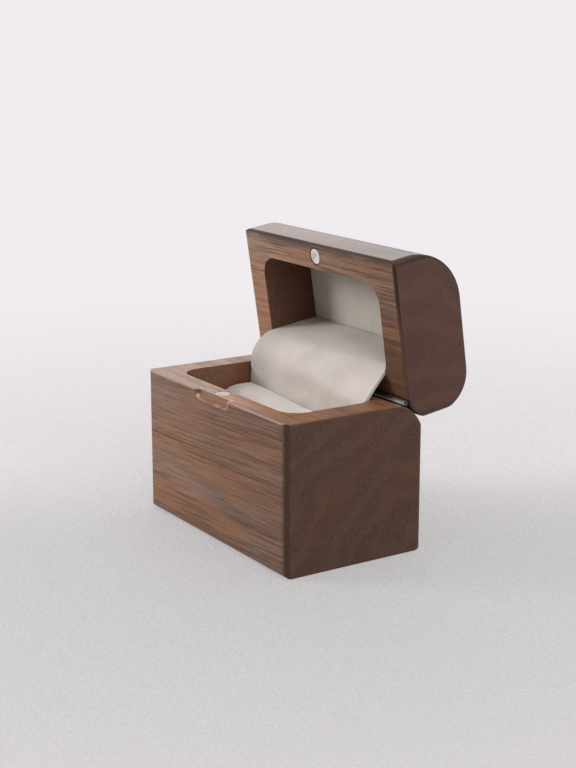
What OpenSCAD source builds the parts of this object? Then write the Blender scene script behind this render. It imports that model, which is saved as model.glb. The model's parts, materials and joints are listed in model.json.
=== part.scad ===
// Ring box: a walnut base and lid with a magnet catch, a knuckled pin hinge and a velvet ring insert.
// X runs to the right, Y to the back and Z up. The origin is the centre of the base's underside.

/* [Box] */
// Width of the box, from side to side
box_w = 60; // [50:0.5:90]
// Depth of the box, from front to back
box_d = 36.3; // [33:0.1:60]
// Height of the base, from its underside to its rim
base_h = 34.2; // [28:0.1:50]
// Height of the lid, from its rim to its top
lid_h = 17.1; // [16:0.1:28]
// Angle that the lid stands open
open_angle = 81.5; // [40:0.5:81.5]

/* [Walls] */
// Thickness of the base's side walls
base_side_wall = 6.2; // [4:0.1:9]
// Thickness of the lid's side walls
lid_side_wall = 6.75; // [4:0.05:9]
// Thickness of the base's front wall
base_front_wall = 5.1; // [5:0.1:8]
// Thickness of the lid's front wall
lid_front_wall = 5.9; // [5:0.1:8]
// Thickness of the rear walls
rear_wall = 8.2; // [7.5:0.1:11]
// Thickness of the wood under the insert
floor_t = 5.5; // [3:0.1:8]
// Thickness of the wood over the ceiling liner
roof_t = 3.2; // [2:0.1:5]
// Radius of the upright corners of both pockets
pocket_r = 4.8; // [3:0.1:7]

/* [Edges] */
// Radius of the upright corners of both blocks
corner_r = 1.8; // [1.2:0.1:2.4]
// Radius along the base's rim and the edges of its end faces
base_edge_r = 0.5; // [0.3:0.1:1]
// Radius along the lid's rim and the edges of its end faces
lid_edge_r = 0.8; // [0.4:0.1:1]
// Radius of the front and rear edges of the underside
foot_r = 2; // [1:0.1:4]
// Radius of the base's upper rear edge
base_rear_r = 8.5; // [8:0.1:12]
// Radius of the lid's upper front edge
lid_front_r = 11.8; // [4:0.1:14]
// Radius of the lid's upper rear edge
lid_top_r = 8.2; // [4:0.1:9]
// Radius of the lid's lower rear edge
lid_rear_r = 6.25; // [6:0.05:7]

/* [Finger notch] */
// Width of the notch in the front face
notch_w = 13.5; // [10:0.5:24]
// Height of the notch, down from the rim
notch_h = 2.1; // [1.8:0.1:5]
// Depth of the notch, into the front face
notch_depth = 0.8; // [0.4:0.05:0.9]
// Radius of the notch's lower corners
notch_r = 1.5; // [0.5:0.1:1.7]

/* [Magnets] */
// Diameter of the disc magnets
magnet_d = 3.5; // [2:0.1:3.6]
// Thickness of the disc magnets
magnet_t = 2; // [1:0.1:3]
// Distance from the front face to the centres of the magnets
magnet_inset = 2.9; // [2.8:0.05:3]

/* [Hinge] */
// Distance from the rear face to the hinge axis
hinge_inset = 4.6; // [4:0.05:4.6]
// Distance from each end face to the end of the hinge
hinge_end = 0.6; // [0.5:0.1:10]
// Outer diameter of the knuckles
barrel_d = 1.3; // [1.2:0.05:1.5]
// Diameter of the hinge pin
pin_d = 0.6; // [0.5:0.05:0.7]
// Thickness of the two leaves
leaf_t = 0.5; // [0.3:0.05:0.6]
// Distance from the hinge axis to the near edge of each leaf's plate
leaf_set = 1.1; // [0.95:0.05:1.4]
// Height of the leaves inside the wood
leaf_depth = 6; // [3:0.1:7]
// Distance from the hinge's ends to the ends of the leaves
leaf_end = 1.5; // [0.5:0.1:3]
// Number of knuckles, which is odd
knuckle_n = 17; // [5:2:25]

/* [Ring insert] */
// Thickness of the card under the two rolls
insert_card_t = 1.5; // [0.8:0.1:3]
// Distance from the rim down to the crowns of the rolls
crown_drop = 4.8; // [4.4:0.1:9]
// Width of the slot between the rolls, which grips the ring
ring_slot = 0.4; // [0.3:0.1:2]
// Thickness of the velvet round the foam
velvet_t = 0.6; // [0.4:0.05:1]
// Radius of the rolls beside the ring slot
roll_slot_r = 5.5; // [2:0.1:6]
// Radius of the rolls beside the walls
roll_wall_r = 1.3; // [1.2:0.1:2.4]

/* [Lid lining] */
// Thickness of the card behind the ceiling velvet
ceiling_card_t = 0.6; // [0.4:0.1:1.5]
// Thickness of the ceiling velvet
ceiling_velvet_t = 0.6; // [0.4:0.1:1.5]

/* [Hinge flap] */
// Thickness of the flap's velvet face
flap_velvet_t = 0.5; // [0.3:0.05:0.8]
// Thickness of the flap's stiff backing
flap_back_t = 0.4; // [0.2:0.05:0.8]
// Length of the flap below the hinge axis, behind the rear roll
flap_tuck = 14; // [8:0.5:15]
// Distance from the start of the rear pocket corners to the flap's face
flap_set = 1; // [0.2:0.05:1.4]

/* [Fits] */
// Gap between the closed rims
closing_gap = 0.1; // [0.05:0.01:0.3]
// Gap round each magnet in its hole
magnet_gap = 0.1; // [0.05:0.01:0.2]
// Depth of the magnets' faces below the rims
magnet_recess = 0.05; // [0.05:0.01:0.3]
// Gap between the pin and the lid leaf's knuckles
pin_gap = 0.04; // [0.02:0.01:0.08]
// Gap between one knuckle and the next
knuckle_gap = 0.12; // [0.05:0.01:0.3]
// Gap between the knuckles and the wood, and between each leaf and the other's knuckles
barrel_gap = 0.12; // [0.08:0.01:0.2]
// Gap round the leaves in their kerfs
kerf_gap = 0.05; // [0.02:0.01:0.1]
// Gap between the soft pieces and the wood beside them
lining_gap = 0.25; // [0.1:0.05:0.5]
// Gap between the foam and the velvet round it
wrap_gap = 0.05; // [0.02:0.01:0.2]

/* [Hidden] */

$fn = 72;
cut = 1;                                    // how far a cutter runs past the face that it opens

base_radii = [foot_r, foot_r, base_rear_r, base_edge_r];    // front low, rear low, rear high, front high
lid_radii = [lid_edge_r, lid_rear_r, lid_top_r, lid_front_r];

base_walls = [base_side_wall, base_front_wall];
lid_walls = [lid_side_wall, lid_front_wall];
pocket_front = -box_d / 2 + base_front_wall;
pocket_rear = box_d / 2 - rear_wall;

hinge_y = box_d / 2 - hinge_inset;
hinge_z = base_h + closing_gap / 2;
hinge_len = box_w - 2 * hinge_end;
knuckle_pitch = hinge_len / knuckle_n;
knuckle_len = knuckle_pitch - knuckle_gap;
barrel_r = barrel_d / 2;
leaf_len = hinge_len - 2 * leaf_end;

insert_floor = floor_t + insert_card_t;
crown_z = base_h - crown_drop;
flap_t = flap_velvet_t + flap_back_t;
flap_y = pocket_rear - pocket_r + flap_set;
flap_r = hinge_y - flap_y;                  // from the hinge axis to the flap's velvet face
corner_bite = pocket_r - sqrt(pow(pocket_r, 2) - pow(flap_set + flap_t, 2));
flap_w = box_w - 2 * (max(base_side_wall, lid_side_wall) + corner_bite + lining_gap);
roll_front = pocket_front + lining_gap;
roll_rear = flap_y - lining_gap;
roll_w = (roll_rear - roll_front - ring_slot) / 2;
roll_len = box_w - 2 * (base_side_wall + lining_gap);
lining_t = ceiling_card_t + ceiling_velvet_t;
lid_depth = lid_h - roof_t;                 // depth of the lid's pocket
flap_rise = lid_depth - lining_t - lining_gap + closing_gap / 2;

// ---- Shared shapes ----

// What rounding a corner of radius r takes off a square corner at the origin
module corner_waste(r) {
    difference() {
        translate([-cut, -cut]) square(r + cut);
        translate([r, r]) circle(r);
    }
}

// Rectangle from the origin with its own radius at each corner, counted from the origin anticlockwise
module rounded_rect(w, h, radii) {
    places = [[0, 0], [w, 0], [w, h], [0, h]];
    difference() {
        square([w, h]);
        for (i = [0:3]) if (radii[i] > 0)
            translate(places[i]) rotate(90 * i) corner_waste(radii[i]);
    }
}

module quarter_disc(r) {
    intersection() {
        circle(r);
        square(r);
    }
}

// End of a block: the profile's last e of thickness, with a fillet of that radius all round
module eased_end(w, h, radii, e) {
    centres = [[radii[0], radii[0]], [w - radii[1], radii[1]],
               [w - radii[2], h - radii[2]], [radii[3], h - radii[3]]];
    starts = [[radii[0], e], [w - e, radii[1]], [w - radii[2], h - e], [e, h - radii[3]]];
    lengths = [w - radii[0] - radii[1], h - radii[1] - radii[2],
               w - radii[2] - radii[3], h - radii[3] - radii[0]];
    linear_extrude(e) translate([e, e])
        rounded_rect(w - 2 * e, h - 2 * e, [for (r = radii) r - e]);
    for (i = [0:3]) {
        translate(centres[i]) rotate(180 + 90 * i) rotate_extrude(angle = 90) {
            if (radii[i] > e) square([radii[i] - e, e]);
            translate([radii[i] - e, 0]) quarter_disc(e);
        }
        translate(starts[i]) rotate(90 * i) rotate([90, 0, 90])
            linear_extrude(lengths[i]) mirror([1, 0]) quarter_disc(e);
    }
}

// Block as wide as the box, with its profile in the YZ plane, front lower corner at y0, z0; its ends
// are eased by e and its upright corners rounded
module block(y0, z0, h, radii, e) {
    intersection() {
        translate([0, y0, z0]) rotate([90, 0, 90]) {
            translate([0, 0, e - box_w / 2])
                linear_extrude(box_w - 2 * e) rounded_rect(box_d, h, radii);
            for (side = [0, 1]) mirror([0, 0, side])
                translate([0, 0, box_w / 2 - e]) eased_end(box_d, h, radii, e);
        }
        translate([-box_w / 2, y0, z0 - cut]) linear_extrude(h + 2 * cut)
            rounded_rect(box_w, box_d, [for (i = [0:3]) corner_r]);
    }
}

// Plan of a pocket inside side and front walls of the given thicknesses, drawn in by the inset
module pocket_plan(walls, inset) {
    r = pocket_r - inset;
    w = box_w - 2 * walls[0];
    d = box_d - walls[1] - rear_wall;
    translate([inset - w / 2, walls[1] - box_d / 2 + inset])
        rounded_rect(w - 2 * inset, d - 2 * inset, [r, r, r, r]);
}

// Turns what is drawn in its closed place to where it stands with the lid open
module opened() {
    translate([0, hinge_y, hinge_z]) rotate([-open_angle, 0, 0])
        translate([0, -hinge_y, -hinge_z]) children();
}

// Cylinder along X, centred on x
module rod(x, length, r) {
    translate([x - length / 2, 0, 0]) rotate([0, 90, 0]) cylinder(h = length, r = r);
}

// ---- Magnets and their holes, on a rim that faces up at the origin ----

module magnet() {
    translate([0, 0, -magnet_recess - magnet_t]) cylinder(h = magnet_t, d = magnet_d);
}

module magnet_hole() {
    depth = magnet_t + magnet_recess;
    translate([0, 0, -depth]) cylinder(h = depth + cut, d = magnet_d + 2 * magnet_gap);
}

module at_base_magnet() {
    translate([0, magnet_inset - box_d / 2, base_h]) children();
}

module at_lid_magnet() {
    translate([0, magnet_inset - box_d / 2, base_h + closing_gap]) mirror([0, 0, 1]) children();
}

// ---- Hinge, with its axis along X through the origin and the base's leaf below it ----

function knuckle_x(k) = (k + 0.5) * knuckle_pitch - hinge_len / 2;

// Web from a leaf's plate to one of its knuckles, between two places along the axis
module web(x0, x1) {
    translate([x0, -leaf_t / 2, -leaf_set - leaf_t])
        cube([x1 - x0, leaf_t, leaf_set + leaf_t - pin_d / 4]);
}

// Leaf whose plate hangs below the axis, with every second knuckle from the first given
module leaf(first, bore_r) {
    difference() {
        union() {
            translate([-leaf_len / 2, -leaf_t / 2, -leaf_set - leaf_depth])
                cube([leaf_len, leaf_t, leaf_depth]);
            for (k = [first:2:knuckle_n - 1]) {
                rod(knuckle_x(k), knuckle_len, barrel_r);
                web(max(knuckle_x(k) - knuckle_len / 2, -leaf_len / 2),
                    min(knuckle_x(k) + knuckle_len / 2, leaf_len / 2));
            }
        }
        rod(0, hinge_len + 2 * cut, bore_r);
    }
}

// What the wood loses to one leaf: the cove for the barrel and the kerf for the plate
module leaf_seat() {
    rod(0, box_w + 2 * cut, barrel_r + barrel_gap);
    translate([-leaf_len / 2 - kerf_gap, -leaf_t / 2 - kerf_gap, -leaf_set - leaf_depth - kerf_gap])
        cube([leaf_len + 2 * kerf_gap, leaf_t + 2 * kerf_gap, leaf_set + leaf_depth + kerf_gap]);
}

module at_hinge() {
    translate([0, hinge_y, hinge_z]) children();
}

// ---- Wooden blocks ----

module finger_notch() {
    translate([-notch_w / 2, notch_depth - box_d / 2, base_h - notch_h])
        rotate([90, 0, 0]) linear_extrude(notch_depth + cut)
            rounded_rect(notch_w, notch_h + cut, [notch_r, notch_r, 0, 0]);
}

module base_block() {
    color("#7a5546") difference() {
        block(-box_d / 2, 0, base_h, base_radii, base_edge_r);
        translate([0, 0, floor_t]) linear_extrude(base_h) pocket_plan(base_walls, 0);
        at_base_magnet() magnet_hole();
        at_hinge() leaf_seat();
        finger_notch();
    }
}

module lid_block() {
    rim = base_h + closing_gap;
    color("#6d4a3c") opened() difference() {
        block(-box_d / 2, rim, lid_h, lid_radii, lid_edge_r);
        translate([0, 0, rim - cut]) linear_extrude(lid_depth + cut) pocket_plan(lid_walls, 0);
        at_lid_magnet() magnet_hole();
        at_hinge() mirror([0, 0, 1]) leaf_seat();
    }
}

// ---- Catch ----

module base_magnet() {
    color("#d8d6d0") at_base_magnet() magnet();
}

module lid_magnet() {
    color("#d8d6d0") opened() at_lid_magnet() magnet();
}

// ---- Hinge ----

module hinge_leaf_base() {
    color("#a9abad") at_hinge() leaf(0, pin_d / 2);
}

module hinge_leaf_lid() {
    color("#b9bbbd") opened() at_hinge() mirror([0, 0, 1]) leaf(1, pin_d / 2 + pin_gap);
}

module hinge_pin() {
    color("#8f9194") at_hinge() rod(0, hinge_len, pin_d / 2);
}

// ---- Ring insert ----

module insert_card() {
    color("#8a7f70") translate([0, 0, floor_t]) linear_extrude(insert_card_t)
        pocket_plan(base_walls, lining_gap);
}

// Solid roll with its front face at y0 and its radii at the front and rear of the crown.
// The inset draws it in on every side but the lowest.
module roll(y0, front_r, rear_r, inset) {
    w = roll_w - 2 * inset;
    h = crown_z - insert_floor - inset;
    length = roll_len - 2 * inset;
    end_r = roll_wall_r - inset;
    intersection() {
        translate([-length / 2, y0 + inset, insert_floor]) rotate([90, 0, 90])
            linear_extrude(length) rounded_rect(w, h, [0, 0, rear_r - inset, front_r - inset]);
        translate([-length / 2, roll_rear + cut, insert_floor]) rotate([90, 0, 0])
            linear_extrude(box_d) rounded_rect(length, h, [0, 0, end_r, end_r]);
        translate([0, 0, insert_floor]) linear_extrude(h) pocket_plan(base_walls, lining_gap + inset);
    }
}

// Velvet over a roll, open where the roll stands on the card
module roll_velvet(y0, front_r, rear_r) {
    difference() {
        roll(y0, front_r, rear_r, 0);
        roll(y0, front_r, rear_r, velvet_t);
    }
}

module front_roll_foam() {
    color("#e8dfc8") roll(roll_front, roll_wall_r, roll_slot_r, velvet_t + wrap_gap);
}

module rear_roll_foam() {
    color("#e8dfc8") roll(roll_rear - roll_w, roll_slot_r, roll_wall_r, velvet_t + wrap_gap);
}

module front_roll_velvet() {
    color("#ddd6cf") roll_velvet(roll_front, roll_wall_r, roll_slot_r);
}

module rear_roll_velvet() {
    color("#ddd6cf") roll_velvet(roll_rear - roll_w, roll_slot_r, roll_wall_r);
}

// ---- Flap over the hinge ----

// Profile of what lies between the hinge axis and the flap: a leg below the axis, a bend round it
// and a leg in the open lid. Its outer face is at radius r from the axis, and the bend laps a few
// degrees into both legs.
module flap_profile(r, tuck, rise) {
    lap = 5;
    rays = [-lap, open_angle / 2, open_angle + lap];
    translate([-r, -tuck]) square([r, tuck]);
    intersection() {
        circle(r);
        polygon(concat([[0, 0]], [for (a = rays) 2 * r * [-cos(a), sin(a)]]));
    }
    rotate(-open_angle) translate([-r, 0]) square([r, rise]);
}

// Layer of the flap: it rises behind the rear roll, bends round the hinge axis with the lid and
// ends at the ceiling. Its outer face is at the given radius from the axis.
module flap_layer(outer_r, t) {
    at_hinge() rotate([90, 0, 90]) translate([0, 0, -flap_w / 2]) linear_extrude(flap_w) difference() {
        flap_profile(outer_r, flap_tuck, flap_rise);
        flap_profile(outer_r - t, flap_tuck + cut, flap_rise + cut);
    }
}

module flap_velvet() {
    color("#cfc7be") flap_layer(flap_r, flap_velvet_t);
}

module flap_backing() {
    color("#efece6") flap_layer(flap_r - flap_velvet_t, flap_back_t);
}

// ---- Ceiling lining ----

module ceiling_layer(depth, t) {
    opened() translate([0, 0, base_h + closing_gap + depth]) linear_extrude(t)
        pocket_plan(lid_walls, lining_gap);
}

module ceiling_card() {
    color("#8a7f70") ceiling_layer(lid_depth - ceiling_card_t, ceiling_card_t);
}

module ceiling_velvet() {
    color("#bdb5a9") ceiling_layer(lid_depth - lining_t, ceiling_velvet_t);
}

base_block();
lid_block();
base_magnet();
lid_magnet();
hinge_leaf_base();
hinge_leaf_lid();
hinge_pin();
insert_card();
front_roll_foam();
rear_roll_foam();
front_roll_velvet();
rear_roll_velvet();
flap_velvet();
flap_backing();
ceiling_card();
ceiling_velvet();
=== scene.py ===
"""Looks for a walnut ring box: oiled wood, a magnet catch, a pin hinge and a velvet ring insert.

Lengths inside the classes are in millimetres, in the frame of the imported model, and become metres
as each mesh is made. X runs to the right, Y to the back and Z up.
"""
import json
import logging
import math
from dataclasses import dataclass
from enum import Enum
from functools import reduce
from typing import Iterable, Sequence

import bmesh
import bpy
import numpy as np
from mathutils import Matrix, Vector

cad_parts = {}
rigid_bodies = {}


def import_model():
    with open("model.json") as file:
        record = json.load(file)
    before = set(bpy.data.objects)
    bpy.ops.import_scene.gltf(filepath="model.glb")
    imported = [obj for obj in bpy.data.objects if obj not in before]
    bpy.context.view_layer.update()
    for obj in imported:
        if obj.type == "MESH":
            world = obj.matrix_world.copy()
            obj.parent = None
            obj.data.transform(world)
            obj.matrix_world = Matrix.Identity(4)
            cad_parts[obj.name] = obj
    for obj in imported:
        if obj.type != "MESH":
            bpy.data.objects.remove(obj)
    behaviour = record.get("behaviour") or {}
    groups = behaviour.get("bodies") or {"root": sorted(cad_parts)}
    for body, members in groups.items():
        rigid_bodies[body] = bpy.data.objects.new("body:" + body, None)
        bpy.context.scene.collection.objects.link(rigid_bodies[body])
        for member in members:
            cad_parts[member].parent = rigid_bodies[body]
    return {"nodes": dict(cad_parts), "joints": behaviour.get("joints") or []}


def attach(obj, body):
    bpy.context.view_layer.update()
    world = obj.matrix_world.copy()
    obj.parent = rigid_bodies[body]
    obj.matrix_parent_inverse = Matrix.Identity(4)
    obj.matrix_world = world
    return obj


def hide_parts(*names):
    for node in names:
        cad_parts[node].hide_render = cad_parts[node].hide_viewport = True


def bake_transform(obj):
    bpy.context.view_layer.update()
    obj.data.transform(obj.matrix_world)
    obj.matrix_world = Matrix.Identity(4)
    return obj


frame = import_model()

log = logging.getLogger("ring_box")
MM = 0.001
Triple = tuple[float, float, float]
Material = bpy.types.Material
Piece = bpy.types.Object
Socket = bpy.types.NodeSocket


# ---------------------------------------------------------------- node trees

class Nodes:
    """Short calls for the nodes of any tree."""

    def __init__(self, tree: bpy.types.NodeTree) -> None:
        """Takes the tree that the nodes go into."""
        self.tree = tree

    def node(self, kind: str, sockets: dict | None = None, **settings: object) -> bpy.types.Node:
        """Adds a node, sets its properties and feeds its sockets.

        Args:
            kind: the node's type name.
            sockets: what its inputs get, by their names or places.
            **settings: properties of the node.

        Returns:
            The new node.
        """
        made = self.tree.nodes.new(kind)
        for key, value in settings.items():
            setattr(made, key, value)
        for key, value in (sockets or {}).items():
            self.feed(made.inputs[key], value)
        return made

    def feed(self, socket: Socket, value: object) -> None:
        """Links a socket to another node's output, or gives it a plain value.

        Args:
            socket: the socket.
            value: the output, or the value.
        """
        if isinstance(value, Socket):
            self.tree.links.new(value, socket)
        else:
            socket.default_value = value

    def axes(self, vector: Socket) -> tuple[Socket, ...]:
        """The three parts of a vector."""
        return tuple(self.node("ShaderNodeSeparateXYZ", {0: vector}).outputs)

    def maths(self, operation: str, *values: object) -> Socket:
        """A Math node on up to three values."""
        return self.node("ShaderNodeMath", dict(enumerate(values)), operation=operation).outputs[0]

    def product(self, *values: object) -> Socket:
        """Multiplies two or more values."""
        return reduce(lambda a, b: self.maths("MULTIPLY", a, b), values)

    def total(self, *values: object) -> Socket:
        """Adds two or more values."""
        return reduce(lambda a, b: self.maths("ADD", a, b), values)

    def less(self, a: object, b: object) -> Socket:
        """The first value less the second."""
        return self.maths("SUBTRACT", a, b)

    def rest(self, share: object) -> Socket:
        """What a share leaves of 1."""
        return self.less(1.0, share)

    def root(self, a: Socket, b: Socket) -> Socket:
        """The root of the sum of two squares."""
        return self.maths("SQRT", self.total(self.product(a, a), self.product(b, b)))

    def band(self, value: object, low: float, high: float, to: Sequence[float] = (0, 1)) -> Socket:
        """Maps low..high smoothly to the two values in to, and holds them outside."""
        sockets = {"Value": value, "From Min": low, "From Max": high, "To Min": to[0], "To Max": to[1]}
        return self.node("ShaderNodeMapRange", sockets, interpolation_type="SMOOTHSTEP").outputs[0]


class Shader(Nodes):
    """A material's node tree with short calls for the nodes that the finishes share."""

    def __init__(self, name: str) -> None:
        """Starts an empty material.

        Args:
            name: the material's name.
        """
        self.material = bpy.data.materials.new(name)
        self.material.use_nodes = True
        super().__init__(self.material.node_tree)
        self.tree.nodes.clear()
        self.output = self.node("ShaderNodeOutputMaterial")

    def coords(self, scale: Sequence[float] = (1, 1, 1), turn: Sequence[float] = (0, 0, 0),
               move: Sequence[float] = (0, 0, 0)) -> Socket:
        """Millimetre coordinates of the piece itself, then scaled.

        Args:
            scale: how many pattern units a millimetre is, along each axis.
            turn: degrees that the pattern is turned about X, Y and Z.
            move: millimetres that the pattern is moved before it is scaled.

        Returns:
            The vector socket.
        """
        own = self.node("ShaderNodeTexCoord").outputs["Object"]
        placed = self.node("ShaderNodeMapping", {"Vector": own, "Location": move, "Scale": (1 / MM,) * 3,
                                                 "Rotation": [math.radians(a) for a in turn]})
        return self.node("ShaderNodeMapping", {"Vector": placed.outputs[0], "Scale": scale}).outputs[0]

    def away(self, point: Triple) -> Socket:
        """How many millimetres a point of the piece is from the given one."""
        made = self.node("ShaderNodeVectorMath", {0: self.coords(), 1: point}, operation="DISTANCE")
        return made.outputs["Value"]

    def noise(self, vector: Socket, detail: float = 2, rough: float = 0.5, warp: float = 0) -> Socket:
        """The value of a noise of one cell per pattern unit."""
        return self.node("ShaderNodeTexNoise", {"Vector": vector, "Scale": 1, "Detail": detail,
                                                "Roughness": rough, "Distortion": warp}).outputs[0]

    def blend(self, share: object, a: object, b: object, mode: str = "MIX") -> Socket:
        """Mixes two colours.

        Args:
            share: how much of b, from 0 to 1.
            a: the first colour, a socket or three numbers.
            b: the second colour, a socket or three numbers.
            mode: the Mix node's blend type.

        Returns:
            The colour socket.
        """
        a, b = (c if isinstance(c, Socket) else (*c, 1) for c in (a, b))
        mixed = self.node("ShaderNodeMix", {0: share, 6: a, 7: b}, data_type="RGBA", blend_type=mode)
        return mixed.outputs[2]

    def tinted(self, colour: Socket, tint: object) -> Socket:
        """A colour multiplied by a tint."""
        return self.blend(1, colour, tint, "MULTIPLY")

    def bump(self, height: Socket, depth: float) -> Socket:
        """A bump whose full height is the given depth in millimetres."""
        sockets = {"Strength": 1, "Distance": depth * MM, "Height": height}
        return self.node("ShaderNodeBump", sockets).outputs[0]

    def surface(self, **inputs: object) -> Material:
        """Ends the tree in a Principled shader.

        Args:
            **inputs: its sockets, with _ for each space in the name.

        Returns:
            The finished material.
        """
        sockets = {key.replace("_", " "): (*value, 1) if isinstance(value, tuple) else value
                   for key, value in inputs.items()}
        made = self.node("ShaderNodeBsdfPrincipled", sockets)
        self.feed(self.output.inputs["Surface"], made.outputs[0])
        return self.material


def tone(red: int, green: int, blue: int) -> Triple:
    """Turns a screen colour, from 0 to 255, into the linear colour that a shader takes.

    Args:
        red: the red of the screen colour.
        green: its green.
        blue: its blue.

    Returns:
        The linear colour.
    """
    def one(c: int) -> float:
        """One channel."""
        v = c / 255
        return v / 12.92 if v <= 0.04045 else ((v + 0.055) / 1.055) ** 2.4
    return one(red), one(green), one(blue)


def scaled(colour: Triple, by: float) -> Triple:
    """A colour made lighter or darker."""
    return tuple(by * c for c in colour)


# ---------------------------------------------------------------- finishes

@dataclass(frozen=True)
class Easing:
    """How the rounded edges look: darker round the ends, and a front edge that is a pale painted highlight or
    darker.

    Attributes:
        start: how far a face looks along the fibres where the rounded end edges begin to darken.
        stop: how far it does where the end face begins.
        most: the most that those edges take of the darker colour.
        left: that colour, as a share of the streaks'.
        front: the most that the long front edge changes.
    """
    start: float
    stop: float
    most: float
    left: float
    front: float


class Edge(Enum):
    """The two looks of the edges: a pale front edge that is a painted highlight, or a darker one."""
    PALE = Easing(0.35, 0.99, 0.7, 0.5, 0.3)
    DARK = Easing(0.1, 0.999, 0.85, 0.15, 0.9)


@dataclass(frozen=True)
class Walnut:
    """Oiled walnut whose fibres run along X: streaks on its long faces and pores on its ends.

    The pattern fills the block, so each face shows its own cut of the same wood.

    Attributes:
        name: the material's name.
        light: the wood between the streaks.
        deep: the streaks.
        warm: broad patches of a warmer wood.
        turn: degrees that the pattern is turned about each axis.
        move: millimetres that the pattern is moved along each axis.
        pith: centre of the growth rings, along the pattern's Y and Z.
        end_shade: how light end grain is beside long grain.
        end_tint: tint of the end grain.
        inner: how much of that look the end walls of the pocket have.
        fade: how much darker the wood gets from left to right.
        half_width: how far the block reaches along X to each side.
        end_zone: where along X the look of the end walls begins, and where it is full.
        painted_shade_spot: centre of a darker patch that is painted shade.
        edge: how the edges look.
        gloss: roughness of the oiled faces.
        oil: where the darker band along the front edge is darkest, along the pattern's Y.
        notch: the finger notch.
        pocket: where the pocket begins and ends along Y, if its walls are tinted browner.
        magnet: centre of the magnet's face, round which a dark ring of painted shadow marks its gap.
    """
    name: str
    light: Triple
    deep: Triple
    warm: Triple
    turn: Triple
    move: Triple
    pith: tuple[float, float]
    end_shade: float
    end_tint: Triple
    inner: float
    fade: float
    half_width: float = 30.0
    end_zone: tuple[float, float] = (26, 28)
    painted_shade_spot: Triple = (0, 0, -200)
    edge: Edge = Edge.PALE
    gloss: float = 0.42
    oil: float = 0.0
    notch: "Notch | None" = None
    pocket: tuple[float, float] | None = None
    magnet: Triple | None = None

    def material(self) -> Material:
        """Builds the material."""
        return Grain(self).finished()


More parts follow.
